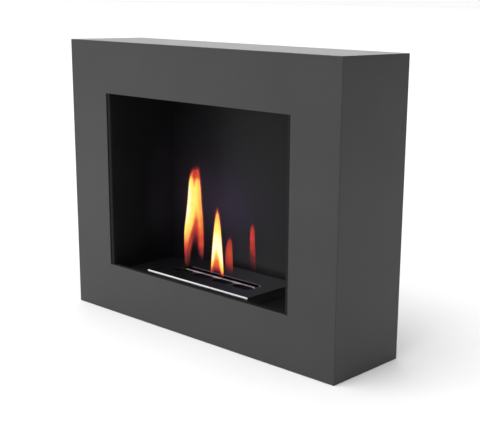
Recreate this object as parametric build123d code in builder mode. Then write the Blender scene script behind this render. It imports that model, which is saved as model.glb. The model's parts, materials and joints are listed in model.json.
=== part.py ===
"""Wall-hung bioethanol fireplace: folded steel casing, black firebox and lift-out burner.

Frame: X runs along the width, Y from the front (-Y) to the wall (+Y), Z up. The origin is
the middle of the casing's footprint, on its underside. Lengths are millimetres.
"""

from build123d import *

import os
from math import sqrt

os.makedirs("parts", exist_ok=True)

# ---------------------------------------------------------------- driving dimensions

# Casing: a box of folded sheet with a sharp-edged front.
casing_width = 650.0
casing_height = 510.0
casing_depth = 170.0
front_sheet = 2.0
casing_sheet = 1.5
front_edge_radius = 1.5
cap_edge_radius = 1.2

# The window in the front panel, in the middle of its height.
opening_width = 450.0
opening_height = 322.0
opening_edge_radius = 0.7
return_bend = 1.8
return_depth = 8.0

# The rim that the casing panels fold at the back, and the recessed back panel in it.
rim_width = 14.0
rim_flange = 14.0
rim_bend = 2.6
mitre_reach = 40.0
recess_depth = 12.0
back_sheet = 1.2
back_gap = 2.9
side_screw_heights = (110.0, 255.0, 400.0)
cap_screw_xs = (-260.0, 0.0, 260.0)
vent_rows = (64.0, 78.0, 370.0)
vent_count = 8
vent_pitch = 54.0
vent_length = 40.0
vent_height = 3.6

# Firebox: a black box set behind the window, bolted to studs on the front panel.
firebox_width = 435.0
firebox_back_y = 67.0
firebox_sheet = 1.5
firebox_floor_z = 82.0
firebox_ceiling_z = 424.0
firebox_flange = 24.5
firebox_bend = 2.2
firebox_gap = 0.2
back_wall_flange = 15.0
stud_heights = (120.0, 205.0, 305.0, 390.0)
stud_flange_share = 0.66
support_x = 170.0
support_foot = 22.0
support_length = 110.0

# Burner plate: a shallow upturned pan that stands on the firebox floor.
plate_width = 255.0
plate_depth = 125.0
plate_front_y = -75.0
plate_top_z = 100.0
plate_sheet = 1.5
plate_clearance = 0.3
plate_edge_radius = 1.0
trim_height = 3.2
trim_thickness = 1.5
trim_top_z = 100.8
bright_edge_radius = 0.4

# The burning slot, the bars along it and the hook windows in front of it.
slot_width = 188.0
slot_front_y = -21.5
slot_depth = 12.7
bar_width = 2.4
bar_height = 1.6
bar_overhang = 0.5
window_count = 4
window_pitch = 50.5
window_width = 40.0
window_rear_y = -25.0
window_radius = 8.0

# Shutter under the plate, and its two guides.
shutter_sheet = 1.2
shutter_width = 211.6
shutter_bottom_z = 95.5
shutter_lead = 0.7
shutter_travel = 17.0
lug_width = 12.0
lug_gap = 0.4
lug_top_z = 99.4
guide_sheet = 1.2
guide_bend = 1.32
guide_ledge = 10.5
guide_gap = 0.5
guide_lead = 3.0
guide_depth = 46.0

# Fuel tank, its filling and the safety tray under it.
tank_width = 224.0
tank_depth = 92.0
tank_front_y = -58.0
tank_bottom_z = 20.0
tank_rim_z = 93.5
tank_sheet = 1.2
tank_corner = 8.0
wool_gap = 0.2
wool_top_z = 84.0
retainer_sheet = 1.0
retainer_rim = 6.0
retainer_hole = 2.2
retainer_columns = 22
retainer_rows = 7
retainer_pitch = 9.6
tray_gap = 5.0
tray_sheet = 1.2
tray_corner = 2.0
tray_flange = 12.0
well_margin = 0.5

# Hanging rail on the wall, and the cleat on the back panel that hooks over it.
cleat_sheet = 2.0
cleat_length = 360.0
cleat_top_z = 478.0
cleat_knee_z = 455.0
cleat_lip = 8.3
cleat_rivet_xs = (-160.0, -80.0, 0.0, 80.0, 160.0)
cleat_rivet_rise = 2.0
rail_length = 400.0
rail_bottom_z = 400.0
rail_lip = 8.8
rail_clearance = 0.3
rail_bend = 3.0
rail_corner_radius = 4.0
rail_slot_length = 14.0
rail_slot_width = 6.5
rail_slot_z = 420.0
rail_slot_spans = (360.0, 120.0)

# Rubber bumpers that fill the recess low on the back panel.
bumper_x = 270.0
bumper_z = 60.0
bumper_radius = 11.0
bumper_bore_depth = 6.0
bumper_bore_margin = 1.0
bumper_edge_radius = 1.5

# Fasteners.
thread_radius = 2.0
thread_gap = 0.05
free_hole_radius = 2.3
screw_head_radius = 4.0
screw_head_height = 2.4
screw_head_rounding = 1.6
screw_length = 12.0
cross_span = 4.2
cross_width = 1.0
cross_depth = 1.4
nut_sides = 6
nut_across_flats = 7.0
nut_height = 3.2
stud_length = 10.0
stud_chamfer = 0.4
rivet_head_radius = 3.6
rivet_head_height = 1.2
rivet_head_rounding = 0.9
rivet_tail_share = 0.8

# ---------------------------------------------------------------- derived places

front_y = -casing_depth / 2
rear_y = casing_depth / 2
front_back_y = front_y + front_sheet
half_width = casing_width / 2
opening_bottom_z = (casing_height - opening_height) / 2
opening_top_z = opening_bottom_z + opening_height

back_panel_y = rear_y - recess_depth
rim_seat_y = back_panel_y - back_sheet
back_half_width = half_width - rim_width - back_gap
back_height = casing_height - 2 * (rim_width + back_gap)
flange_mid = rim_width + rim_flange / 2
screw_x = half_width - flange_mid
cap_screw_heights = (flange_mid, casing_height - flange_mid)
side_screw_places = [(side * screw_x, height) for side in (-1, 1) for height in side_screw_heights]
cap_screw_places = [(x, height) for height in cap_screw_heights for x in cap_screw_xs]
panel_screw_places = side_screw_places + cap_screw_places

wall_x = firebox_width / 2
back_wall_x = wall_x + 2 * firebox_sheet
pan_half_length = wall_x - firebox_gap
floor_under_z = firebox_floor_z - firebox_sheet
ceiling_over_z = firebox_ceiling_z + firebox_sheet
stud_x = wall_x + firebox_flange * stud_flange_share
stud_places = [(side * stud_x, height) for side in (-1, 1) for height in stud_heights]

plate_centre_y = plate_front_y + plate_depth / 2
plate_under_z = plate_top_z - plate_sheet
skirt_bottom_z = firebox_floor_z + plate_clearance
slot_rear_y = slot_front_y + slot_depth
slot_centre_y = (slot_front_y + slot_rear_y) / 2
window_depth = shutter_travel + shutter_sheet + 2 * lug_gap
lug_front_y = window_rear_y - window_depth + lug_gap
lug_reach = window_pitch * (window_count - 1) / 2
shutter_rear_y = slot_front_y - shutter_lead
guide_ledge_z = shutter_bottom_z - plate_clearance - guide_sheet
guide_web_x = shutter_width / 2 + guide_gap + guide_sheet
guide_front_y = lug_front_y - guide_lead

tank_centre_y = tank_front_y + tank_depth / 2
tank_height = tank_rim_z - tank_bottom_z
bore_width = tank_width - 2 * tank_sheet
bore_depth = tank_depth - 2 * tank_sheet
bore_corner = tank_corner - tank_sheet
filling_width = bore_width - 2 * wool_gap
filling_depth = bore_depth - 2 * wool_gap
filling_corner = bore_corner - wool_gap
wool_bottom_z = tank_bottom_z + tank_sheet + wool_gap
tray_width = tank_width + 2 * tray_gap
tray_depth = tank_depth + 2 * tray_gap
tray_bottom_z = tank_bottom_z - tray_gap - tray_sheet
well_width = tray_width + 2 * well_margin
well_depth = tray_depth + 2 * well_margin

cleat_rivet_z = (cleat_top_z + cleat_knee_z) / 2 + cleat_rivet_rise
cleat_rivet_places = [(x, cleat_rivet_z) for x in cleat_rivet_xs]
cleat_rear_y = back_panel_y + cleat_sheet
rail_knee_z = cleat_knee_z - recess_depth - rail_clearance * sqrt(2)
bumper_places = [(-bumper_x, bumper_z), (bumper_x, bumper_z)]
bumper_seat_y = rear_y - bumper_bore_depth


def save(piece, name):
    """Labels a finished piece and writes it under its own name."""
    piece.part.label = name
    export_step(piece.part, f"parts/{name}.step")


def patch(x_range, y_range):
    """Adds the rectangle between two ranges to the sketch under way."""
    middle = ((x_range[0] + x_range[1]) / 2, (y_range[0] + y_range[1]) / 2)
    with Locations(middle):
        Rectangle(x_range[1] - x_range[0], y_range[1] - y_range[0])


def folded_strip(corners, bend, sheet, side):
    """Adds the section of a sheet folded along corners to the sketch under way."""
    with BuildLine() as section:
        FilletPolyline(*corners, radius=bend)
        offset(amount=sheet, side=side)
    make_face(section.edges())


# ---------------------------------------------------------------- casing

with BuildPart() as front_panel:
    with BuildSketch(Plane.XZ.offset(-front_y)):
        patch((-half_width, half_width), (0, casing_height))
        with Locations((0, casing_height / 2)):
            Rectangle(opening_width, opening_height, mode=Mode.SUBTRACT)
    extrude(amount=-front_sheet)
    # The window's sill and head are folded back; they stop short of the firebox walls.
    with BuildSketch(Plane.XZ.offset(-front_y)):
        patch((-wall_x, wall_x), (opening_bottom_z - front_sheet, opening_bottom_z))
        patch((-wall_x, wall_x), (opening_top_z, opening_top_z + front_sheet))
    extrude(amount=-return_depth)
    face = front_panel.faces().sort_by(Axis.Y)[0]
    fillet(face.inner_wires()[0].edges().filter_by(Axis.X), radius=return_bend)
    face = front_panel.faces().sort_by(Axis.Y)[0]
    fillet(face.inner_wires()[0].edges().filter_by(Axis.Z), radius=opening_edge_radius)
    face = front_panel.faces().sort_by(Axis.Y)[0]
    fillet(face.outer_wire().edges(), radius=front_edge_radius)
save(front_panel, "front_panel")

for side, name in ((-1, "left_side_panel"), (1, "right_side_panel")):
    outer = side * half_width
    rim_x = side * (half_width - rim_width)
    with BuildPart() as side_panel:
        with BuildSketch(Plane.XY.offset(casing_sheet)):
            folded_strip(
                [
                    (outer, front_back_y),
                    (outer, rear_y),
                    (rim_x, rear_y),
                    (rim_x, rim_seat_y),
                    (rim_x - side * rim_flange, rim_seat_y),
                ],
                rim_bend,
                casing_sheet,
                Side.LEFT if side > 0 else Side.RIGHT,
            )
        extrude(amount=casing_height - 2 * casing_sheet)
        # The rims meet at the corners on a mitre.
        with BuildSketch(Plane.XZ.offset(-rear_y)):
            for end_z, inward in ((0.0, 1), (casing_height, -1)):
                corner = (outer, end_z)
                foot = (outer - side * mitre_reach, end_z)
                head = (outer - side * mitre_reach, end_z + inward * mitre_reach)
                Polygon(corner, foot, head, align=None)
        extrude(amount=casing_depth, mode=Mode.SUBTRACT)
        with BuildSketch(Plane.XZ.offset(-rim_seat_y)):
            with Locations(*[place for place in side_screw_places if place[0] * side > 0]):
                Circle(thread_radius + thread_gap)
        extrude(amount=casing_sheet, both=True, mode=Mode.SUBTRACT)
    save(side_panel, name)

# The top and bottom panels cap the side panels, and their rims meet the side rims on the mitres.
for outer_z, inward, name in ((casing_height, -1, "top_panel"), (0.0, 1, "bottom_panel")):
    rim_z = outer_z + inward * rim_width
    rim_half_length = half_width - casing_sheet
    cap_places = [place for place in cap_screw_places if abs(place[1] - outer_z) < rim_width + rim_flange]
    with BuildPart() as cap_panel:
        with BuildSketch(Plane.YZ.offset(-rim_half_length)):
            folded_strip(
                [
                    (front_back_y + rim_bend, outer_z),
                    (rear_y, outer_z),
                    (rear_y, rim_z),
                    (rim_seat_y, rim_z),
                    (rim_seat_y, rim_z + inward * rim_flange),
                ],
                rim_bend,
                casing_sheet,
                Side.RIGHT if inward < 0 else Side.LEFT,
            )
        extrude(amount=2 * rim_half_length)
        with BuildSketch(Plane.XZ.offset(-rear_y)):
            for side in (-1, 1):
                corner = (side * half_width, outer_z)
                head = (side * half_width, outer_z + inward * mitre_reach)
                foot = (side * (half_width - mitre_reach), outer_z + inward * mitre_reach)
                Polygon(corner, head, foot, align=None)
        extrude(amount=casing_depth, mode=Mode.SUBTRACT)
        with BuildSketch(Plane.XY.offset(outer_z)) as cap_outline:
            patch((-half_width, half_width), (front_back_y, rear_y))
            fillet(cap_outline.vertices().group_by(Axis.Y)[-1], radius=rim_bend)
        extrude(amount=inward * casing_sheet)
        outer_face = cap_panel.faces().filter_by(Axis.Z).sort_by(Axis.Z)[-1 if inward < 0 else 0]
        front_edge = outer_face.edges().sort_by(Axis.Y)[0]
        fillet(outer_face.edges() - [front_edge], radius=cap_edge_radius)
        with BuildSketch(Plane.XZ.offset(-rim_seat_y)):
            with Locations(*cap_places):
                Circle(thread_radius + thread_gap)
        extrude(amount=casing_sheet, both=True, mode=Mode.SUBTRACT)
    save(cap_panel, name)

# The back panel closes the casing behind the firebox; slots let its air gap breathe.
with BuildPart() as back_panel:
    with BuildSketch(Plane.XZ.offset(-rim_seat_y)):
        with Locations((0, casing_height / 2)):
            Rectangle(2 * back_half_width, back_height)
        with Locations(*panel_screw_places):
            Circle(free_hole_radius, mode=Mode.SUBTRACT)
        with Locations(*cleat_rivet_places, *bumper_places):
            Circle(thread_radius + thread_gap, mode=Mode.SUBTRACT)
        for row in vent_rows:
            with Locations((0, row)):
                with GridLocations(vent_pitch, 0, vent_count, 1):
                    SlotOverall(vent_length, vent_height, mode=Mode.SUBTRACT)
    extrude(amount=-back_sheet)
save(back_panel, "back_panel")

with BuildPart() as back_panel_screws:
    with BuildSketch(Plane.XZ.offset(-back_panel_y)):
        with Locations(*panel_screw_places):
            Circle(screw_head_radius)
    extrude(amount=-screw_head_height)
    fillet(back_panel_screws.edges().group_by(Axis.Y)[-1], radius=screw_head_rounding)
    with BuildSketch(Plane.XZ.offset(-back_panel_y)):
        with Locations(*panel_screw_places):
            Circle(thread_radius)
    extrude(amount=screw_length)
    # Cross recess in each head.
    with BuildSketch(Plane.XZ.offset(-(back_panel_y + screw_head_height))):
        with Locations(*panel_screw_places):
            Rectangle(cross_span, cross_width)
            Rectangle(cross_width, cross_span)
    extrude(amount=cross_depth, mode=Mode.SUBTRACT)
save(back_panel_screws, "back_panel_screws")

# ---------------------------------------------------------------- hanging parts

with BuildPart() as hanger_cleat:
    with BuildSketch(Plane.YZ.offset(-cleat_length / 2)):
        folded_strip(
            [
                (back_panel_y, cleat_top_z),
                (back_panel_y, cleat_knee_z),
                (back_panel_y + cleat_lip, cleat_knee_z - cleat_lip),
            ],
            rail_bend,
            cleat_sheet,
            Side.LEFT,
        )
    extrude(amount=cleat_length)
    with BuildSketch(Plane.XZ.offset(-back_panel_y)):
        with Locations(*cleat_rivet_places):
            Circle(thread_radius + thread_gap)
    extrude(amount=-2 * cleat_sheet, mode=Mode.SUBTRACT)
save(hanger_cleat, "hanger_cleat")

with BuildPart() as cleat_rivets:
    with BuildSketch(Plane.XZ.offset(-cleat_rear_y)):
        with Locations(*cleat_rivet_places):
            Circle(rivet_head_radius)
    extrude(amount=-rivet_head_height)
    fillet(cleat_rivets.edges().group_by(Axis.Y)[-1], radius=rivet_head_rounding)
    with BuildSketch(Plane.XZ.offset(-cleat_rear_y)):
        with Locations(*cleat_rivet_places):
            Circle(thread_radius)
    extrude(amount=cleat_sheet + back_sheet)
    with BuildSketch(Plane.XZ.offset(-rim_seat_y)):
        with Locations(*cleat_rivet_places):
            Circle(rivet_head_radius * rivet_tail_share)
    extrude(amount=rivet_head_height)
save(cleat_rivets, "cleat_rivets")

# The rail's lip runs parallel to the cleat's, one clearance below it.
with BuildPart() as wall_rail:
    with BuildSketch(Plane.YZ.offset(-rail_length / 2)):
        folded_strip(
            [
                (rear_y, rail_bottom_z),
                (rear_y, rail_knee_z),
                (rear_y - rail_lip, rail_knee_z + rail_lip),
            ],
            rail_bend,
            cleat_sheet,
            Side.LEFT,
        )
    extrude(amount=rail_length)
    with BuildSketch(Plane.XZ.offset(-rear_y)):
        for span in rail_slot_spans:
            with Locations((-span / 2, rail_slot_z), (span / 2, rail_slot_z)):
                SlotOverall(rail_slot_length, rail_slot_width)
    extrude(amount=cleat_sheet, mode=Mode.SUBTRACT)
    fillet(wall_rail.edges().filter_by(Axis.Y).group_by(Axis.Z)[0], radius=rail_corner_radius)
save(wall_rail, "wall_rail")

with BuildPart() as wall_bumpers:
    with BuildSketch(Plane.XZ.offset(-back_panel_y)):
        with Locations(*bumper_places):
            Circle(bumper_radius)
            Circle(thread_radius + thread_gap, mode=Mode.SUBTRACT)
    extrude(amount=-recess_depth)
    with BuildSketch(Plane.XZ.offset(-rear_y)):
        with Locations(*bumper_places):
            Circle(screw_head_radius + bumper_bore_margin)
    extrude(amount=bumper_bore_depth, mode=Mode.SUBTRACT)
    end_edges = wall_bumpers.edges().group_by(Axis.Y)[-1]
    fillet(end_edges.sort_by(SortBy.RADIUS)[-len(bumper_places):], radius=bumper_edge_radius)
save(wall_bumpers, "wall_bumpers")

with BuildPart() as bumper_screws:
    with BuildSketch(Plane.XZ.offset(-bumper_seat_y)):
        with Locations(*bumper_places):
            Circle(screw_head_radius)
    extrude(amount=-screw_head_height)
    fillet(bumper_screws.edges().group_by(Axis.Y)[-1], radius=screw_head_rounding)
    with BuildSketch(Plane.XZ.offset(-bumper_seat_y)):
        with Locations(*bumper_places):
            Circle(thread_radius)
    extrude(amount=screw_length)
save(bumper_screws, "bumper_screws")

# ---------------------------------------------------------------- firebox

# Each side wall folds outward at the front; its flange shows round the window as a black strip.
for side, name in ((-1, "firebox_left_wall"), (1, "firebox_right_wall")):
    inner = side * wall_x
    with BuildPart() as firebox_wall:
        with BuildSketch(Plane.XY.offset(floor_under_z)):
            folded_strip(
                [
                    (inner + side * firebox_flange, front_back_y),
                    (inner, front_back_y),
                    (inner, firebox_back_y),
                ],
                firebox_bend,
                firebox_sheet,
                Side.RIGHT if side > 0 else Side.LEFT,
            )
        extrude(amount=ceiling_over_z - floor_under_z)
        with BuildSketch(Plane.XZ.offset(-front_back_y)):
            with Locations(*[place for place in stud_places if place[0] * side > 0]):
                Circle(free_hole_radius)
        extrude(amount=-2 * firebox_sheet, mode=Mode.SUBTRACT)
    save(firebox_wall, name)

with BuildPart() as firebox_back_wall:
    with BuildSketch(Plane.XY.offset(floor_under_z)):
        folded_strip(
            [
                (back_wall_x, firebox_back_y - back_wall_flange),
                (back_wall_x, firebox_back_y + firebox_sheet),
                (-back_wall_x, firebox_back_y + firebox_sheet),
                (-back_wall_x, firebox_back_y - back_wall_flange),
            ],
            firebox_sheet,
            firebox_sheet,
            Side.LEFT,
        )
    extrude(amount=ceiling_over_z - floor_under_z)
save(firebox_back_wall, "firebox_back_wall")

# The floor has a well that the fuel tank hangs through; its front edge folds up to the sill.
with BuildPart() as firebox_floor:
    with BuildSketch(Plane.YZ.offset(-pan_half_length)):
        folded_strip(
            [
                (front_back_y, opening_bottom_z - front_sheet - firebox_gap),
                (front_back_y, floor_under_z),
                (firebox_back_y, floor_under_z),
            ],
            firebox_bend,
            firebox_sheet,
            Side.LEFT,
        )
    extrude(amount=2 * pan_half_length)
    with BuildSketch(Plane.XY.offset(floor_under_z)):
        with Locations((0, tank_centre_y)):
            RectangleRounded(well_width, well_depth, tray_corner)
    extrude(amount=firebox_sheet, mode=Mode.SUBTRACT)
save(firebox_floor, "firebox_floor")

with BuildPart() as firebox_ceiling:
    with BuildSketch(Plane.YZ.offset(-pan_half_length)):
        folded_strip(
            [
                (front_back_y, opening_top_z + front_sheet + firebox_gap),
                (front_back_y, ceiling_over_z),
                (firebox_back_y, ceiling_over_z),
            ],
            firebox_bend,
            firebox_sheet,
            Side.RIGHT,
        )
    extrude(amount=2 * pan_half_length)
save(firebox_ceiling, "firebox_ceiling")

# Two channels carry the firebox floor on the casing's bottom panel.
for side, name in ((-1, "firebox_support_left"), (1, "firebox_support_right")):
    with BuildPart() as firebox_support:
        with BuildSketch(Plane.XZ.offset(support_length / 2)):
            folded_strip(
                [
                    (side * (support_x + support_foot), casing_sheet),
                    (side * support_x, casing_sheet),
                    (side * support_x, floor_under_z),
                    (side * (support_x + support_foot), floor_under_z),
                ],
                firebox_bend,
                firebox_sheet,
                Side.RIGHT if side > 0 else Side.LEFT,
            )
        extrude(amount=-support_length)
    save(firebox_support, name)

with BuildPart() as flange_studs:
    with BuildSketch(Plane.XZ.offset(-front_back_y)):
        with Locations(*stud_places):
            Circle(thread_radius)
    extrude(amount=-stud_length)
    chamfer(flange_studs.edges().group_by(Axis.Y)[-1], length=stud_chamfer)
save(flange_studs, "flange_studs")

with BuildPart() as flange_nuts:
    with BuildSketch(Plane.XZ.offset(-(front_back_y + firebox_sheet))):
        with Locations(*stud_places):
            RegularPolygon(nut_across_flats / 2, nut_sides, major_radius=False)
            Circle(thread_radius + thread_gap, mode=Mode.SUBTRACT)
    extrude(amount=-nut_height)
save(flange_nuts, "flange_nuts")

# ---------------------------------------------------------------- burner

with BuildPart() as burner_tank:
    with BuildSketch(Plane.XY.offset(tank_bottom_z)):
        with Locations((0, tank_centre_y)):
            RectangleRounded(tank_width, tank_depth, tank_corner)
    extrude(amount=tank_height)
    # The rim reaches out to the burner plate's skirts, which carry it.
    with BuildSketch(Plane.XY.offset(tank_rim_z - tank_sheet)):
        with Locations((0, plate_centre_y)):
            Rectangle(plate_width - 2 * plate_sheet, plate_depth - 2 * plate_sheet)
    extrude(amount=tank_sheet)
    with BuildSketch(Plane.XY.offset(tank_bottom_z + tank_sheet)):
        with Locations((0, tank_centre_y)):
            RectangleRounded(bore_width, bore_depth, bore_corner)
    extrude(amount=tank_height, mode=Mode.SUBTRACT)
    fillet(burner_tank.faces().sort_by(Axis.Z)[0].edges(), radius=tank_sheet)
save(burner_tank, "burner_tank")

with BuildPart() as ceramic_wool:
    with BuildSketch(Plane.XY.offset(wool_bottom_z)):
        with Locations((0, tank_centre_y)):
            RectangleRounded(filling_width, filling_depth, filling_corner)
    extrude(amount=wool_top_z - wool_bottom_z)
save(ceramic_wool, "ceramic_wool")

# A perforated tray holds the wool down.
with BuildPart() as wool_retainer:
    with BuildSketch(Plane.XY.offset(wool_top_z)):
        with Locations((0, tank_centre_y)):
            RectangleRounded(filling_width, filling_depth, filling_corner)
    extrude(amount=retainer_rim)
    with BuildSketch(Plane.XY.offset(wool_top_z + retainer_sheet)):
        with Locations((0, tank_centre_y)):
            RectangleRounded(
                filling_width - 2 * retainer_sheet,
                filling_depth - 2 * retainer_sheet,
                filling_corner - retainer_sheet,
            )
    extrude(amount=retainer_rim, mode=Mode.SUBTRACT)
    with BuildSketch(Plane.XY.offset(wool_top_z)):
        with Locations((0, tank_centre_y)):
            with GridLocations(retainer_pitch, retainer_pitch, retainer_columns, retainer_rows):
                Circle(retainer_hole)
    extrude(amount=retainer_sheet, mode=Mode.SUBTRACT)
save(wool_retainer, "wool_retainer")

with BuildPart() as burner_plate:
    with BuildSketch(Plane.XY.offset(skirt_bottom_z)):
        with Locations((0, plate_centre_y)):
            Rectangle(plate_width, plate_depth)
    extrude(amount=plate_top_z - skirt_bottom_z)
    with BuildSketch(Plane.XY.offset(skirt_bottom_z)):
        with Locations((0, plate_centre_y)):
            Rectangle(plate_width - 2 * plate_sheet, plate_depth - 2 * plate_sheet)
    extrude(amount=plate_under_z - skirt_bottom_z, mode=Mode.SUBTRACT)
    fillet(burner_plate.faces().sort_by(Axis.Z)[-1].edges(), radius=plate_edge_radius)
    with BuildSketch(Plane.XY.offset(plate_under_z)):
        with Locations((0, slot_centre_y)):
            Rectangle(slot_width, slot_depth)
        with Locations((0, window_rear_y - window_depth / 2)):
            with GridLocations(window_pitch, 0, window_count, 1):
                RectangleRounded(window_width, window_depth, window_radius)
    extrude(amount=plate_sheet, mode=Mode.SUBTRACT)
save(burner_plate, "burner_plate")

with BuildPart() as burner_trim:
    with BuildSketch(Plane.XZ.offset(-plate_front_y)):
        patch((-plate_width / 2, plate_width / 2), (trim_top_z - trim_height, trim_top_z))
    extrude(amount=trim_thickness)
    fillet(burner_trim.faces().sort_by(Axis.Y)[0].edges(), radius=bright_edge_radius)
save(burner_trim, "burner_trim")

for edge_y, outward, name in ((slot_front_y, -1, "slot_bar_front"), (slot_rear_y, 1, "slot_bar_rear")):
    bar_range = sorted((edge_y, edge_y + outward * bar_width))
    with BuildPart() as slot_bar:
        with BuildSketch(Plane.XY.offset(plate_top_z)):
            patch((-slot_width / 2 - bar_overhang, slot_width / 2 + bar_overhang), bar_range)
        extrude(amount=bar_height)
        fillet(slot_bar.faces().sort_by(Axis.Z)[-1].edges(), radius=bright_edge_radius)
    save(slot_bar, name)

# The shutter stands open; it slides back under the slot. Two folded lugs take a hook.
with BuildPart() as shutter:
    with BuildSketch(Plane.XY.offset(shutter_bottom_z)):
        patch((-shutter_width / 2, shutter_width / 2), (lug_front_y, shutter_rear_y))
    extrude(amount=shutter_sheet)
    with BuildSketch(Plane.XY.offset(shutter_bottom_z)):
        for x in (-lug_reach, lug_reach):
            patch((x - lug_width / 2, x + lug_width / 2), (lug_front_y, lug_front_y + shutter_sheet))
    extrude(amount=lug_top_z - shutter_bottom_z)
save(shutter, "shutter")

for side, name in ((-1, "shutter_guide_left"), (1, "shutter_guide_right")):
    with BuildPart() as shutter_guide:
        with BuildSketch(Plane.XZ.offset(-guide_front_y)):
            folded_strip(
                [
                    (side * (guide_web_x - guide_ledge), guide_ledge_z),
                    (side * guide_web_x, guide_ledge_z),
                    (side * guide_web_x, plate_under_z - guide_sheet),
                    (side * (guide_web_x + guide_ledge), plate_under_z - guide_sheet),
                ],
                guide_bend,
                guide_sheet,
                Side.LEFT if side > 0 else Side.RIGHT,
            )
        extrude(amount=-guide_depth)
    save(shutter_guide, name)

# ---------------------------------------------------------------- safety tray under the tank

with BuildPart() as spill_tray:
    with BuildSketch(Plane.XY.offset(tray_bottom_z)):
        with Locations((0, tank_centre_y)):
            RectangleRounded(
                tray_width + 2 * tray_sheet,
                tray_depth + 2 * tray_sheet,
                tray_corner + tray_sheet,
            )
    extrude(amount=floor_under_z - tray_bottom_z)
    with BuildSketch(Plane.XY.offset(floor_under_z - tray_sheet)):
        with Locations((0, tank_centre_y)):
            RectangleRounded(
                tray_width + 2 * tray_flange,
                tray_depth + 2 * tray_flange,
                tray_corner,
            )
    extrude(amount=tray_sheet)
    with BuildSketch(Plane.XY.offset(tray_bottom_z + tray_sheet)):
        with Locations((0, tank_centre_y)):
            RectangleRounded(tray_width, tray_depth, tray_corner)
    extrude(amount=floor_under_z - tray_bottom_z, mode=Mode.SUBTRACT)
save(spill_tray, "spill_tray")
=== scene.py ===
"""Finishes, fibre filling, flames and studio for a wall-hung bioethanol fireplace.

Lengths are metres, or millimetres where a name ends in _mm. X runs along the width, Y from
the front to the wall, Z up, as in the frame.
"""

import json
from math import cos, pi, radians, sin

import bmesh
import bpy
from mathutils import Matrix, Vector, noise


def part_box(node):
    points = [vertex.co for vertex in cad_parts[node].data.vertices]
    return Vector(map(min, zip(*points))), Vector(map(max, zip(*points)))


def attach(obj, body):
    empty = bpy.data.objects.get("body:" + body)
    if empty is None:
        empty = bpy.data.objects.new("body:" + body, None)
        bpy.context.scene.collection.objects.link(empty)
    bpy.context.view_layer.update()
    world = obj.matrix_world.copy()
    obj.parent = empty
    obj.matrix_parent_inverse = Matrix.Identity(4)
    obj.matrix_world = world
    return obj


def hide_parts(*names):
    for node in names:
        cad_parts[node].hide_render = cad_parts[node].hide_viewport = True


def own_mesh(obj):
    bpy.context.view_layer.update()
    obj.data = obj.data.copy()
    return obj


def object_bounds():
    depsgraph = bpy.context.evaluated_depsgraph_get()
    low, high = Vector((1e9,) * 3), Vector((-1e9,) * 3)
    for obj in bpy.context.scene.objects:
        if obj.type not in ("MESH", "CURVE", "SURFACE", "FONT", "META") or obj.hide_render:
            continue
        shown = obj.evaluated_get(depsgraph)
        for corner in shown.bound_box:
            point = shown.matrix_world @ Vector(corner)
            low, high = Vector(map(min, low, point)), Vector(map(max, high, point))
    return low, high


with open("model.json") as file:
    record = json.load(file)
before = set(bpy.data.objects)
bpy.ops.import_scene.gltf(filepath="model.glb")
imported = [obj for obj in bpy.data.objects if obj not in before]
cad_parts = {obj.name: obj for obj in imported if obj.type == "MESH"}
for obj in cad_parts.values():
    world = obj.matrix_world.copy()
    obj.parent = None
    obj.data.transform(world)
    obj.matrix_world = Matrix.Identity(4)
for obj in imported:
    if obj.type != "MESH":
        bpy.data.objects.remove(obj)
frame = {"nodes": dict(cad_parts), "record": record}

MM = 0.001
cad_low, cad_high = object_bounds()


# ---------------------------------------------------------------- small helpers

def linear(code):
    """An sRGB hex colour as linear red, green, blue and alpha."""
    channels = []
    for start in (1, 3, 5):
        value = int(code[start:start + 2], 16) / 255
        channels.append(value / 12.92 if value <= 0.04045 else ((value + 0.055) / 1.055) ** 2.4)
    return (*channels, 1.0)


def per_metre(size_mm):
    """The texture scale that repeats a pattern once every size_mm."""
    return 1 / (size_mm * MM)


def smooth(value, start, end):
    """0 before start, 1 after end, with a soft turn between them."""
    share = min(max((value - start) / (end - start), 0.0), 1.0)
    return share * share * (3 - 2 * share)


def finish_mesh(mesh, name, material):
    """Turns a bmesh into a smooth-shaded object with one material."""
    data = bpy.data.meshes.new(name)
    mesh.to_mesh(data)
    mesh.free()
    data.materials.append(material)
    data.shade_smooth()
    piece = bpy.data.objects.new(name, data)
    bpy.context.scene.collection.objects.link(piece)
    return piece


def add(tree, kind, inputs=None, stops=None, **settings):
    """Adds a node.

    Settings are its properties, inputs are values or sockets to link from, and stops are the
    places and colours of its colour ramp.
    """
    node = tree.nodes.new(kind)
    for name, value in settings.items():
        setattr(node, name, value)
    for name, value in (inputs or {}).items():
        if isinstance(value, bpy.types.NodeSocket):
            tree.links.new(value, node.inputs[name])
        else:
            node.inputs[name].default_value = value
    for index, (position, code) in enumerate(stops or ()):
        elements = node.color_ramp.elements
        element = elements[index] if index < 2 else elements.new(position)
        element.position = position
        element.color = linear(code)
    return node


def surface(name, **values):
    """A material, its node tree, its shader and the place on the piece that its patterns follow."""
    material = bpy.data.materials.new(name)
    material.use_nodes = True
    tree = material.node_tree
    shader = tree.nodes["Principled BSDF"]
    for socket, value in values.items():
        shader.inputs[socket.replace("_", " ")].default_value = value
    place = add(tree, "ShaderNodeTexCoord").outputs["Object"]
    return material, tree, shader, place


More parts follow.
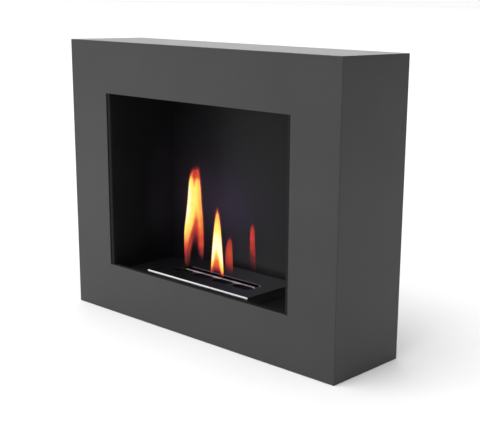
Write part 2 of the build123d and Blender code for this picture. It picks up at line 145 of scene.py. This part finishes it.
def show(shader, pattern, colours=(), roughness=(), relief=()):
    """Lets a pattern show in a surface.

    colours are the stops that its values turn into, roughness is the range that they cover, and
    relief is how strongly they stand out, and how far in millimetres.
    """
    tree = shader.id_data
    values = pattern.outputs["Fac"]
    if colours:
        colour = add(tree, "ShaderNodeValToRGB", {"Fac": values}, stops=colours)
        tree.links.new(colour.outputs["Color"], shader.inputs["Base Color"])
    if roughness:
        least, most = roughness
        dulled = add(tree, "ShaderNodeMapRange", {"Value": values, "To Min": least, "To Max": most})
        tree.links.new(dulled.outputs["Result"], shader.inputs["Roughness"])
    if relief:
        strength, depth_mm = relief
        bump = add(
            tree, "ShaderNodeBump", {"Height": values, "Strength": strength, "Distance": depth_mm * MM}
        )
        tree.links.new(bump.outputs["Normal"], shader.inputs["Normal"])


# ---------------------------------------------------------------- paints

def powder_coat(name, dark, light, roughness, peel_mm, peel_depth_mm):
    """Polyester powder, sprayed dry on steel and baked.

    It flows into a fine orange peel, so highlights break up slightly, and its film is a little
    uneven, so the colour clouds by a shade. The real peel is under 1 mm wide and wouldn't show,
    so peel_mm is drawn coarser.
    """
    cloud_mm = 85
    spread = 0.05
    material, tree, shader, place = surface(name, IOR=1.5, Specular_IOR_Level=0.4)
    cloud = add(
        tree, "ShaderNodeTexNoise", {"Vector": place, "Scale": per_metre(cloud_mm), "Detail": 4.0}
    )
    show(shader, cloud, colours=((0.3, dark), (0.7, light)))
    peel = add(
        tree, "ShaderNodeTexNoise", {"Vector": place, "Scale": per_metre(peel_mm), "Detail": 2.0}
    )
    show(
        shader, peel, roughness=(roughness - spread, roughness + spread), relief=(0.35, peel_depth_mm)
    )
    return material


def stove_paint(name, dark, light, roughness, shine=0.5):
    """Silicone paint for hot steel, sprayed and stoved.

    It is thinner than powder, so the sheet's own grain shows through, and heat dulls it in soft
    patches. shine is how much the film still reflects: soot takes some of it away. The real
    grain is too fine to show, so it is drawn coarser.
    """
    patch_mm, grain_mm = 60, 1.8
    grain_depth_mm = 0.05
    glossier, duller = 0.06, 0.08
    material, tree, shader, place = surface(name, IOR=1.43, Specular_IOR_Level=shine)
    patch = add(
        tree, "ShaderNodeTexNoise", {"Vector": place, "Scale": per_metre(patch_mm), "Detail": 5.0}
    )
    show(
        shader, patch, colours=((0.3, dark), (0.75, light)),
        roughness=(roughness - glossier, roughness + duller),
    )
    grain = add(
        tree, "ShaderNodeTexNoise", {"Vector": place, "Scale": per_metre(grain_mm), "Detail": 2.0}
    )
    show(shader, grain, relief=(0.2, grain_depth_mm))
    return material


# ---------------------------------------------------------------- bare metals

def drawn_metal(name, dark, light, roughness, streak_mm, streak_length_mm):
    """Steel with the fine parallel lines that rolling, brushing or polishing leaves.

    The lines run along the width and spread highlights across themselves. Real ones are a
    fraction of a millimetre apart and wouldn't show, so streak_mm is drawn coarser.
    """
    spread = 0.07
    scratch_depth_mm = 0.02
    material, tree, shader, place = surface(name, Metallic=1.0)
    across, length = per_metre(streak_mm), per_metre(streak_length_mm)
    stretched = add(tree, "ShaderNodeMapping", {"Vector": place, "Scale": (length, across, across)})
    streaks = add(
        tree, "ShaderNodeTexNoise",
        {"Vector": stretched.outputs["Vector"], "Scale": 1.0, "Detail": 3.0},
    )
    show(
        shader, streaks, colours=((0.25, dark), (0.75, light)),
        roughness=(roughness - spread, roughness + spread), relief=(0.15, scratch_depth_mm),
    )
    return material


def zinc_plate(name, dark, light, roughness, cell_mm):
    """Steel plated with zinc and passivated: pale, cool, and faintly mottled where the bath ran."""
    glossier, duller = 0.08, 0.1
    material, tree, shader, place = surface(name, Metallic=1.0)
    mottle = add(
        tree, "ShaderNodeTexNoise", {"Vector": place, "Scale": per_metre(cell_mm), "Detail": 4.0}
    )
    show(
        shader, mottle, colours=((0.3, dark), (0.7, light)),
        roughness=(roughness - glossier, roughness + duller),
    )
    return material


# ---------------------------------------------------------------- rubber and fibre

def moulded_rubber():
    """Black rubber, moulded in a matt tool: dull, and slightly grey where it bloomed.

    The tool's real grain is too fine to show, so it is drawn coarser.
    """
    grain_mm = 0.8
    grain_depth_mm = 0.1
    material, tree, shader, place = surface("moulded_rubber", IOR=1.52)
    grain = add(
        tree, "ShaderNodeTexNoise", {"Vector": place, "Scale": per_metre(grain_mm), "Detail": 3.0}
    )
    show(
        shader, grain, colours=((0.3, "#191919"), (0.8, "#262625")), roughness=(0.75, 0.95),
        relief=(0.3, grain_depth_mm),
    )
    return material


def ceramic_fibre():
    """Alumina and silica fibre, spun and needled into blanket: white and matt, with tangled strands.

    Its fibres are far too fine to show, so the strands are drawn as thick as loose tufts.
    """
    strand_mm, strand_length_mm = 0.9, 7
    strand_depth_mm = 0.4
    material, tree, shader, place = surface("ceramic_fibre", IOR=1.5, Roughness=0.95)
    across, length = per_metre(strand_mm), per_metre(strand_length_mm)
    stretched = add(tree, "ShaderNodeMapping", {"Vector": place, "Scale": (length, across, across)})
    strands = add(
        tree, "ShaderNodeTexNoise",
        {"Vector": stretched.outputs["Vector"], "Scale": 1.0, "Detail": 4.0, "Distortion": 1.2},
    )
    show(
        shader, strands, colours=((0.3, "#cfcabd"), (0.65, "#f1eee6")), relief=(0.5, strand_depth_mm)
    )
    return material


# ---------------------------------------------------------------- darkening and painted shade

# Where the front panel's painted shade ends and where its plain rim begins, as shares of its width or
# height out from its middle. The window ends at about a third, and the outer edges are at a half.
shade_ends, rim_begins = 0.42, 0.46


def outer_rim(tree, place):
    """1 at the front panel's outer edges and 0 round its window."""
    low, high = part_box("front_panel")
    size, middle = high - low, (low + high) / 2
    across = (1 / size.x, 0, 1 / size.z)
    offset = (-middle.x / size.x, 0, -middle.z / size.z)
    centred = add(
        tree, "ShaderNodeVectorMath", {0: place, 1: across, 2: offset}, operation="MULTIPLY_ADD"
    )
    distance = add(tree, "ShaderNodeVectorMath", {0: centred.outputs["Vector"]}, operation="ABSOLUTE")
    parts = add(tree, "ShaderNodeSeparateXYZ", {"Vector": distance.outputs["Vector"]})
    farthest = add(
        tree, "ShaderNodeMath", {0: parts.outputs["X"], 1: parts.outputs["Z"]}, operation="MAXIMUM"
    )
    rim = add(
        tree, "ShaderNodeMapRange",
        {"Value": farthest.outputs["Value"], "From Min": shade_ends, "From Max": rim_begins},
    )
    return rim.outputs["Result"]


def darken_along(material, axis, dark_mm, plain_mm, dark_colour, dull, kept_plain=None):
    """Darkens and dulls a finish along one axis, from plain_mm to dark_mm.

    dark_colour is the colour that the darkening multiplies in, and dull is the roughness of the dark
    end. kept_plain marks the places left as they are. On the front panel and the firebox it paints
    shade.
    """
    tree = material.node_tree
    shader = tree.nodes["Principled BSDF"]
    place = add(tree, "ShaderNodeTexCoord").outputs["Object"]
    along = add(tree, "ShaderNodeSeparateXYZ", {"Vector": place})
    plain_ramp = add(
        tree, "ShaderNodeMapRange",
        {"Value": along.outputs[axis], "From Min": dark_mm * MM, "From Max": plain_mm * MM},
        interpolation_type="SMOOTHSTEP",
    )
    share = plain_ramp.outputs["Result"]
    if kept_plain:
        kept_out = kept_plain(tree, place)
        share = add(tree, "ShaderNodeMath", {0: share, 1: kept_out}, operation="MAXIMUM").outputs["Value"]
    tone = add(tree, "ShaderNodeValToRGB", {"Fac": share}, stops=((0.0, dark_colour), (1.0, "#ffffff")))
    bare = shader.inputs["Base Color"].links[0].from_socket
    darkened = add(
        tree, "ShaderNodeMixRGB", {"Fac": 1.0, "Color1": bare, "Color2": tone.outputs["Color"]},
        blend_type="MULTIPLY",
    )
    tree.links.new(darkened.outputs["Color"], shader.inputs["Base Color"])
    plain_roughness = shader.inputs["Roughness"].links[0].from_socket
    dulled = add(tree, "ShaderNodeMapRange", {"Value": share, "To Min": dull, "To Max": plain_roughness})
    tree.links.new(dulled.outputs["Result"], shader.inputs["Roughness"])


# ---------------------------------------------------------------- finishes

graphite = dict(dark="#2e2e2f", light="#323233", roughness=0.46, peel_mm=2.4, peel_depth_mm=0.06)
satin_black = dict(dark="#111112", light="#171718", roughness=0.5)

# The finish of each of the record's material slots.
finishes = {
    # The casing: a dark neutral grey, with a wide soft sheen.
    "graphite_paint": powder_coat("graphite_powder_coat", **graphite),
    # The back panel: duller than the front, with a deeper peel.
    "back_paint": powder_coat(
        "black_powder_coat", "#2a2a2b", "#303031", roughness=0.6, peel_mm=2.0, peel_depth_mm=0.1
    ),
    # The firebox: nearly black, with a soft sheen where light grazes it.
    "black_paint": stove_paint("satin_black_stove_paint", **satin_black),
    # The firebox's back wall: smoother than the satin paint, so its sheen is narrower. The fire
    # has filmed it, so that sheen is weak.
    "gloss_black_paint": stove_paint(
        "gloss_black_stove_enamel", "#141415", "#181819", roughness=0.36, shine=0.15
    ),
    # The burner's plate: a blurred mirror that takes the firebox's tone.
    "burner_steel": drawn_metal(
        "satin_polished_stainless_steel", "#d8d8d9", "#e6e6e7",
        roughness=0.17, streak_mm=1.6, streak_length_mm=220,
    ),
    # The trim: a clearer mirror, which turns the studio into one bright line.
    "polished_steel": drawn_metal(
        "polished_stainless_steel", "#cfcfd1", "#e4e4e5",
        roughness=0.12, streak_mm=1.2, streak_length_mm=160,
    ),
    # The shutter's guides: plain sheet as the mill rolled it, greyer and duller.
    "stainless_steel": drawn_metal(
        "rolled_stainless_steel", "#a9a9aa", "#c2c2c3",
        roughness=0.34, streak_mm=0.7, streak_length_mm=45,
    ),
    # Supports, tray and hanging parts: pale grey with a bluish cast.
    "zinc_steel": zinc_plate("zinc_plated_sheet_steel", "#9da1a6", "#b9bcc0", roughness=0.42, cell_mm=9),
    # Screws, studs, nuts and rivets: brighter than the sheet.
    "zinc_fasteners": zinc_plate(
        "bright_zinc_plated_steel", "#b4b7bb", "#cdd0d3", roughness=0.28, cell_mm=3
    ),
    "rubber": moulded_rubber(),
    "ceramic_wool": ceramic_fibre(),
}

# Marks near the fire. Soot darkens the shutter and the inside of the burner, and painted shade
# darkens them further, so the windows and the slot look black. The bars along the slot carry a pink
# tint that is a painted reflection of the flames, and are darker at their left end. Painted shade
# also darkens the window's folded edge and the firebox's front rim.
# The shutter: soot, and painted shade that keeps the windows over it black.
soot_and_shade_paint = stove_paint("soot_and_painted_shade_stove_paint", "#0a0a0a", "#0f0f0f", roughness=0.75, shine=0.08)
# The tank and the retainer: soot, and painted shade that keeps the slot black.
soot_and_shade_steel = drawn_metal(
    "heat_blackened_and_painted_shade_stainless_steel", "#191716", "#2b2826",
    roughness=0.6, streak_mm=0.9, streak_length_mm=45,
)
# The slot bars: the pink tint in their colour is a painted reflection of the flames.
flame_reflection_steel = drawn_metal(
    "flame_reflection_tinted_stainless_steel", "#93858a", "#a5959a",
    roughness=0.3, streak_mm=1.2, streak_length_mm=160,
)
# The bars are darker and duller at their left end.
darken_along(flame_reflection_steel, "X", dark_mm=-84, plain_mm=-74, dark_colour="#37302e", dull=0.3)
# Painted shade on the front panel's folded window edge, set back in the opening. The outer rim is left
# plain.
window_edge_shade = powder_coat("window_edge_painted_shade_powder_coat", **graphite)
darken_along(window_edge_shade, "Y", dark_mm=-83.9, plain_mm=-84.8, dark_colour="#4c4846", dull=1.0, kept_plain=outer_rim)
# Painted shade on the firebox walls' front rim, in the gap just behind the front panel.
firebox_rim_shade = stove_paint("firebox_rim_painted_shade_stove_paint", **satin_black)
darken_along(firebox_rim_shade, "Y", dark_mm=-79, plain_mm=-77, dark_colour="#6c6866", dull=0.85)
fired_and_shaded_finishes = {
    "front_panel": window_edge_shade,
    "firebox_left_wall": firebox_rim_shade,
    "firebox_right_wall": firebox_rim_shade,
    "shutter": soot_and_shade_paint,
    "burner_tank": soot_and_shade_steel,
    "wool_retainer": soot_and_shade_steel,
    "slot_bar_front": flame_reflection_steel,
    "slot_bar_rear": flame_reflection_steel,
}

for part in frame["record"]["subparts"]:
    piece = frame["nodes"][part["node"]]
    piece.data.materials.clear()
    piece.data.materials.append(fired_and_shaded_finishes.get(part["node"], finishes[part["material_slot"]]))


# ---------------------------------------------------------------- fibre filling

wool_sheets = 5
wool_cuts = 18
# How round the sheets' edges are, how far their faces swell, and the length of that swell's waves.
wool_edge_mm = 4.5
wool_swell_mm = 0.5
wool_wave_mm = 14


def fibre_blankets():
    """The tank's filling: a stack of blanket sheets, soft at their edges and slightly uneven."""
    low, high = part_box("ceramic_wool")
    edge, swell = wool_edge_mm * MM, wool_swell_mm * MM
    thickness = (high.z - low.z) / wool_sheets
    mesh = bmesh.new()
    for number in range(wool_sheets):
        centre = Vector(((low.x + high.x) / 2, (low.y + high.y) / 2, low.z + (number + 0.5) * thickness))
        half = Vector((high.x - low.x, high.y - low.y, thickness)) / 2 - Vector((swell,) * 3)
        sheet = bmesh.new()
        bmesh.ops.create_cube(sheet, size=2.0)
        bmesh.ops.subdivide_edges(sheet, edges=sheet.edges, cuts=wool_cuts, use_grid_fill=True)
        for vertex in sheet.verts:
            place = Vector(vertex.co[i] * half[i] for i in range(3))
            inner = Vector(min(max(place[i], edge - half[i]), half[i] - edge) for i in range(3))
            outward = (place - inner).normalized()
            place = inner + outward * edge
            wave = noise.noise((place + centre) * per_metre(wool_wave_mm)) * swell
            vertex.co = centre + place + outward * wave
        part = bpy.data.meshes.new("wool_sheet")
        sheet.to_mesh(part)
        sheet.free()
        mesh.from_mesh(part)
        bpy.data.meshes.remove(part)
    return finish_mesh(mesh, "fibre_blankets", finishes["ceramic_wool"])


wool = fibre_blankets()
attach(wool, "burner")
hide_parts("ceramic_wool")


# ---------------------------------------------------------------- flames

def burning_vapour():
    """Burning ethanol vapour: it gives light and hides nothing where it is cool.

    Its colour climbs with heat, from dark red through orange to a pale yellow. The mesh holds
    each point's heat and how dense the flame is there.
    """
    flicker_mm, flicker_heat = 11, 0.025
    material, tree, shader, place = surface(
        "burning_vapour", Base_Color=linear("#000000"), Roughness=1.0, Specular_IOR_Level=0.0,
        Emission_Strength=1.3,
    )
    heat = add(tree, "ShaderNodeAttribute", attribute_name="flame_heat")
    flicker = add(
        tree, "ShaderNodeTexNoise", {"Vector": place, "Scale": per_metre(flicker_mm), "Detail": 2.0}
    )
    shift = add(
        tree, "ShaderNodeMapRange",
        {
            "Value": flicker.outputs["Fac"], "From Min": 0.3, "From Max": 0.7,
            "To Min": -flicker_heat, "To Max": flicker_heat,
        },
    )
    warmth = add(
        tree, "ShaderNodeMath", {0: heat.outputs["Fac"], 1: shift.outputs["Result"]}, operation="ADD"
    )
    colour = add(
        tree, "ShaderNodeValToRGB", {"Fac": warmth.outputs["Value"]},
        stops=(
            (0.0, "#1c1018"),
            (0.1, "#46201f"),
            (0.2, "#7c2a28"),
            (0.32, "#c03b38"),
            (0.42, "#d04e30"),
            (0.52, "#e07a38"),
            (0.62, "#f4ae58"),
            (0.74, "#f8d85e"),
            (0.88, "#fdf57c"),
            (1.0, "#fffff4"),
        ),
    )
    tree.links.new(colour.outputs["Color"], shader.inputs["Emission Color"])
    density = add(tree, "ShaderNodeAttribute", attribute_name="flame_body")
    tree.links.new(density.outputs["Fac"], shader.inputs["Alpha"])
    return material


vapour = burning_vapour()
# The middle of the slot between its bars, and the middle of the filling under it.
slot_y = (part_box("slot_bar_front")[0].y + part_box("slot_bar_rear")[1].y) / 2
# A flame's foot is a little below the top of the plate, inside the slot.
foot_depth_mm = 2.4
foot_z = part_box("burner_plate")[1].z - foot_depth_mm * MM
# How finely a flame's mesh is divided, from foot to tip and round it.
flame_rows = 120
flame_sides = 48

# From the thin cool skin of a flame to its core: its share of the core's heat, and its density.
shells = ((0.42, 0.1), (0.68, 0.22), (1.0, 1.0))
# How far each shell stands inside the one round it, at the front and at the back.
shell_step_mm = 0.8

# Shares of a flame's half width, out from its middle, over which the middle's heat gives way to
# that of its left and of its right edge.
left_blend, right_blend = (0.0, 0.9), (0.25, 1.0)
# How soft the side of a hollow is, as a share of the half width.
hollow_softness = 0.22
# The heat at which a flame begins to show, and from which it is as dense as it gets.
visible_heat = (0.02, 0.26)

# Each flame stands in the slot. depth_mm is its depth from front to back, and body is the density
# of its core, from 0 to 1. edge_mm is how far the left and right edge of each shell stands inside
# the one round it, and tip_drop is how much lower its tip is, as a share of the height. The flame
# fades in between the two shares of its height in foot.
#
# Rows go from foot to tip as shares of the height. An outline row has the left and right edge in
# millimetres from the middle of the plate. A fire row has the heat at the left edge, the middle
# and the right edge. A hollow is a cool place in the fire: each row has its left and right edge,
# from -1 to 1 across the flame, and the share of the heat that it takes.
flames = (
    dict(
        name="tall_flame", height_mm=199, depth_mm=9, edge_mm=(0.5, 1.3), tip_drop=0.02, body=1.0,
        outline=(
            (0.0, -93.5, -46), (0.1, -94.5, -43), (0.25, -95.5, -41), (0.38, -94.5, -41),
            (0.53, -89.5, -42.5), (0.68, -85, -45.5), (0.83, -81.5, -48), (0.9, -78.5, -50),
            (0.95, -74.5, -51), (0.98, -69.5, -52.5), (1.0, -60, -56),
        ),
        fire=(
            (0.0, 0.09, 0.0, 0.0), (0.08, 0.17, 0.05, 0.04), (0.14, 0.24, 0.1, 0.09),
            (0.2, 0.34, 0.25, 0.21), (0.28, 0.57, 0.44, 0.36), (0.36, 0.8, 0.6, 0.42),
            (0.46, 0.93, 0.78, 0.5), (0.56, 0.97, 0.84, 0.58), (0.7, 0.97, 0.86, 0.66),
            (0.82, 0.94, 0.86, 0.7), (0.89, 0.86, 0.78, 0.64), (0.93, 0.58, 0.46, 0.42),
            (0.97, 0.4, 0.36, 0.38), (1.0, 0.34, 0.32, 0.34),
        ),
        hollows=(
            (
                (0.0, -0.45, 1.6, 1.0), (0.1, -0.45, 0.85, 1.0), (0.17, -0.44, 0.64, 1.0),
                (0.24, -0.38, 0.6, 0.86), (0.32, -0.26, 0.6, 0.75), (0.42, -0.04, 0.6, 0.6),
                (0.52, 0.12, 0.55, 0.43), (0.66, 0.3, 0.45, 0.05), (0.75, 0.3, 0.45, 0.0),
            ),
            (
                (0.8, 0.15, 0.15, 0.0), (0.87, -0.05, 0.35, 0.3), (0.93, -0.25, 0.45, 0.35),
                (1.0, -0.35, 0.4, 0.1),
            ),
        ),
        foot=(0.0, 0.1),
    ),
    dict(
        name="middle_flame", height_mm=131, depth_mm=8, edge_mm=(0.5, 0.6), tip_drop=0.03, body=1.0,
        outline=(
            (0.0, -25, 9.5), (0.15, -24, 9), (0.35, -21.5, 7), (0.5, -19.5, 5), (0.65, -17, 3),
            (0.8, -14, 0.5), (0.92, -10.8, -2.8), (1.0, -7.4, -6.6),
        ),
        fire=(
            (0.0, 0.1, 0.15, 0.2), (0.05, 0.28, 0.3, 0.42), (0.1, 0.52, 0.6, 0.68),
            (0.16, 0.74, 0.82, 0.86), (0.26, 0.95, 0.95, 0.96), (0.5, 0.98, 0.97, 0.97),
            (0.68, 0.93, 0.91, 0.89), (0.8, 0.82, 0.81, 0.74), (0.92, 0.68, 0.68, 0.64),
            (1.0, 0.6, 0.6, 0.6),
        ),
        hollows=(
            (
                (0.0, -0.75, 0.8, 1.0), (0.1, -0.68, 0.68, 0.75), (0.17, -0.55, 0.6, 0.48),
                (0.26, -0.4, 0.5, 0.42), (0.38, -0.15, 0.25, 0.14), (0.5, 0.0, 0.1, 0.0),
            ),
        ),
        foot=(0.02, 0.08),
    ),
    dict(
        name="low_flame", height_mm=86, depth_mm=9, edge_mm=(0.9, 0.6), tip_drop=0.05, body=0.36,
        outline=(
            (0.0, 12, 33), (0.2, 11.5, 33), (0.45, 12, 32.5), (0.7, 13.5, 31.5), (0.88, 17, 30),
            (1.0, 22, 26.5),
        ),
        fire=(
            (0.0, 0.02, 0.03, 0.03), (0.1, 0.05, 0.08, 0.09), (0.2, 0.1, 0.14, 0.17),
            (0.3, 0.16, 0.23, 0.27), (0.45, 0.27, 0.38, 0.38), (0.65, 0.34, 0.46, 0.4),
            (0.85, 0.3, 0.4, 0.34), (0.95, 0.26, 0.32, 0.28), (1.0, 0.18, 0.18, 0.18),
        ),
        hollows=(),
        foot=(-0.12, 0.55),
    ),
    dict(
        name="right_flame", height_mm=117, depth_mm=8, edge_mm=(0.6, 0.6), tip_drop=0.03, body=0.88,
        outline=(
            (0.0, 75, 87.5), (0.3, 74, 88.5), (0.55, 73.5, 87.5), (0.78, 73.5, 86), (0.92, 75, 85),
            (1.0, 78, 82),
        ),
        fire=(
            (0.0, 0.0, 0.0, 0.0), (0.16, 0.0, 0.0, 0.0), (0.24, 0.05, 0.06, 0.08),
            (0.36, 0.08, 0.11, 0.14), (0.5, 0.12, 0.16, 0.2), (0.62, 0.22, 0.28, 0.27),
            (0.78, 0.28, 0.34, 0.29), (0.93, 0.26, 0.33, 0.28), (1.0, 0.2, 0.2, 0.2),
        ),
        hollows=(),
        foot=(0.0, 0.5),
    ),
)


def row_at(rows, share):
    """The columns of a table at a share of the height, straight between its rows."""
    upper = next((i for i, row in enumerate(rows) if i and row[0] >= share), len(rows) - 1)
    low, high = rows[upper - 1], rows[upper]
    part = min(max((share - low[0]) / (high[0] - low[0]), 0.0), 1.0)
    return [start + (end - start) * part for start, end in zip(low[1:], high[1:])]


def edges_at(outline, share):
    """A flame's left and right edge, in millimetres, at a share of its height, on a smooth curve."""
    upper = next(i for i, row in enumerate(outline) if row[0] >= share and i)
    rows = [outline[min(max(upper + step, 0), len(outline) - 1)] for step in (-2, -1, 0, 1)]
    span = rows[2][0] - rows[1][0]
    part = (share - rows[1][0]) / span
    edges = []
    for side in (1, 2):
        slopes = [
            (above[side] - below[side]) / (above[0] - below[0]) * span
            for below, above in ((rows[0], rows[2]), (rows[1], rows[3]))
        ]
        edges.append(
            (1 + 2 * part) * (1 - part) ** 2 * rows[1][side]
            + part * (1 - part) ** 2 * slopes[0]
            + part ** 2 * (3 - 2 * part) * rows[2][side]
            - part ** 2 * (1 - part) * slopes[1]
        )
    return edges


def glow(flame, shell, across, share):
    """The heat and density of a point: across runs from the left edge, -1, to the right, 1."""
    left, middle, right = row_at(flame["fire"], share)
    heat = (
        middle
        + (left - middle) * smooth(-across, *left_blend)
        + (right - middle) * smooth(across, *right_blend)
    )
    for hollow in flame["hollows"]:
        start, end, chill = row_at(hollow, share)
        entered = smooth(across, start - hollow_softness, start + hollow_softness)
        passed = smooth(across, end - hollow_softness, end + hollow_softness)
        heat *= 1 - chill * entered * (1 - passed)
    shell_heat, shell_density = shells[shell]
    density = flame["body"] * shell_density * smooth(heat, *visible_heat) * smooth(share, *flame["foot"])
    return heat * shell_heat, density


def burning(flame):
    """One flame: nested closed shells, from a thin cool skin to the hot core."""
    mesh = bmesh.new()
    # Adding a layer spoils the ones already at hand, so both are added before either is fetched.
    layer_names = ("flame_heat", "flame_body")
    for name in layer_names:
        mesh.verts.layers.float.new(name)
    heat_layer, density_layer = (mesh.verts.layers.float[name] for name in layer_names)
    left_edge, right_edge = flame["edge_mm"]
    for shell in range(len(shells)):
        height = flame["height_mm"] * MM * (1 - shell * flame["tip_drop"])
        rings = []
        for row in range(flame_rows + 1):
            share = sin(row / flame_rows * pi / 2)
            left, right = edges_at(flame["outline"], share)
            # Where the flame is narrow, the steps between its shells shrink with it.
            steps = min((right - left) / 2 / right_edge / len(shells), 1.0) * shell
            left += left_edge * steps
            right -= right_edge * steps
            half_width = (right - left) / 2
            half_depth = min(flame["depth_mm"] / 2 - shell * shell_step_mm, half_width)
            ring = []
            for side in range(flame_sides):
                turn = 2 * pi * side / flame_sides
                across = cos(turn)
                vertex = mesh.verts.new((
                    ((left + right) / 2 + half_width * across) * MM,
                    slot_y + half_depth * sin(turn) * MM,
                    foot_z + share * height,
                ))
                vertex[heat_layer], vertex[density_layer] = glow(flame, shell, across, share)
                ring.append(vertex)
            rings.append(ring)
        for lower, upper in zip(rings, rings[1:]):
            for side in range(flame_sides):
                after = (side + 1) % flame_sides
                mesh.faces.new((lower[side], lower[after], upper[after], upper[side]))
        mesh.faces.new(list(reversed(rings[0])))
        mesh.faces.new(rings[-1])
    piece = finish_mesh(mesh, flame["name"], vapour)
    # A flame's own mesh lights nothing and shows in no reflection: the studio's panels stand in.
    piece.visible_shadow = piece.visible_diffuse = piece.visible_glossy = False
    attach(piece, "burner")
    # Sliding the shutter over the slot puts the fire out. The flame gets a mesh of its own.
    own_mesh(piece)


for flame in flames:
    burning(flame)


# ---------------------------------------------------------------- studio

def aim(azimuth, elevation, roll):
    """The turn of a camera or light that looks back at the object from these angles, in degrees."""
    turn, rise, lean = radians(azimuth), radians(elevation), radians(roll)
    back = Vector((sin(turn) * cos(rise), -cos(turn) * cos(rise), sin(rise)))
    right = Vector((cos(turn), sin(turn), 0.0))
    up = back.cross(right)
    leaned_right = right * cos(lean) + up * sin(lean)
    leaned_up = up * cos(lean) - right * sin(lean)
    return Matrix((leaned_right, leaned_up, back)).transposed()


def set_up(name, data, place, azimuth, elevation, roll=0):
    """Puts a camera or light at a place in the studio, aimed from these angles."""
    stand = bpy.data.objects.new(name, data)
    stand.matrix_world = Matrix.Translation(place) @ aim(azimuth, elevation, roll).to_4x4()
    bpy.context.scene.collection.objects.link(stand)
    return stand


# The camera follows from the casing's edges in the photograph.
image_width_px = 480
sensor_width_mm = 36.0
focal_px = 971.26
camera_place = (1.2127, -1.204, 0.5846)
camera_azimuth, camera_elevation, camera_roll = 40.72, 14.04, 1.11
camera_shift = (-0.125, 0.0594)

lens = bpy.data.cameras.new("studio_camera")
lens.sensor_width = sensor_width_mm
lens.lens = focal_px * sensor_width_mm / image_width_px
lens.shift_x, lens.shift_y = camera_shift
bpy.context.scene.camera = set_up(
    "studio_camera", lens, camera_place, camera_azimuth, camera_elevation, camera_roll
)


def studio_floor():
    """Matt white paint, put on with a roller: faintly patchy, and it reaches the horizon."""
    reach = 150.0
    gap_mm = 0.2
    roller_mm = 400
    material, tree, shader, place = surface(
        "matt_white_floor_paint", Roughness=0.9, Specular_IOR_Level=0.1
    )
    roller = add(
        tree, "ShaderNodeTexNoise", {"Vector": place, "Scale": per_metre(roller_mm), "Detail": 2.0}
    )
    show(shader, roller, colours=((0.3, "#f1f1f1"), (0.7, "#f4f4f4")))
    mesh = bmesh.new()
    bmesh.ops.create_circle(mesh, cap_ends=True, segments=64, radius=reach)
    floor = finish_mesh(mesh, "floor", material)
    floor.location.z = cad_low.z - gap_mm * MM


studio_floor()


def soft_sky():
    """An even, dim studio surround that looks white to the camera."""
    light_given, light_seen = 0.085, 0.97
    world = bpy.data.worlds.new("studio")
    world.use_nodes = True
    tree = world.node_tree
    tree.nodes.clear()
    given = add(tree, "ShaderNodeBackground", {"Color": linear("#ffffff"), "Strength": light_given})
    seen = add(tree, "ShaderNodeBackground", {"Color": linear("#ffffff"), "Strength": light_seen})
    ray = add(tree, "ShaderNodeLightPath")
    mixed = add(
        tree, "ShaderNodeMixShader",
        {0: ray.outputs["Is Camera Ray"], 1: given.outputs["Background"], 2: seen.outputs["Background"]},
    )
    add(tree, "ShaderNodeOutputWorld", {"Surface": mixed.outputs["Shader"]})
    bpy.context.scene.world = world


soft_sky()

# Soft boxes: name, azimuth and elevation in degrees, angular size in degrees, and strength.
soft_boxes = (
    ("overhead_box", -18, 78, 55, 2.65),
    ("front_box", 0, 30, 50, 0.6),
    ("left_front_box", -36, 8, 60, 0.68),
    ("left_box", -60, 22, 45, 0.3),
    ("right_box", 60, 45, 50, 0.38),
    ("rear_left_box", -138, 14, 45, 1.08),
)
for name, azimuth, elevation, size, strength in soft_boxes:
    box = bpy.data.lights.new(name, "SUN")
    box.energy = strength
    box.angle = radians(size)
    set_up(name, box, (0, 0, 0), azimuth, elevation)

# Panels: name, middle, width and height in millimetres, azimuth in degrees, colour, watts, and
# whether glossy surfaces mirror it. The first three give the fire's faint glow on the wall behind
# it. The last stands so near on the left that its sheen on the front fades to the right.
panels = (
    ("pink_glow", (-125, -5, 215), (90, 90), 0, "#ffd6ff", 0.12, False),
    ("violet_glow", (-50, 12, 205), (80, 80), 0, "#bc80ff", 0.1, False),
    ("low_glow", (60, 0, 116), (190, 24), 0, "#fff6f2", 0.075, False),
    ("low_left_panel", (-850, -720, 60), (350, 350), -42, "#ffffff", 0.42, True),
)
for name, middle, (width, height), azimuth, code, watts, mirrored in panels:
    panel = bpy.data.lights.new(name, "AREA")
    panel.shape = "ELLIPSE"
    panel.size = width * MM
    panel.size_y = height * MM
    panel.color = linear(code)[:3]
    panel.energy = watts
    light = set_up(name, panel, Vector(middle) * MM, azimuth, 0)
    light.visible_camera = False
    light.visible_glossy = mirrored

# Colours are shown as they are, without a film curve.
bpy.context.scene.view_settings.view_transform = "Standard"
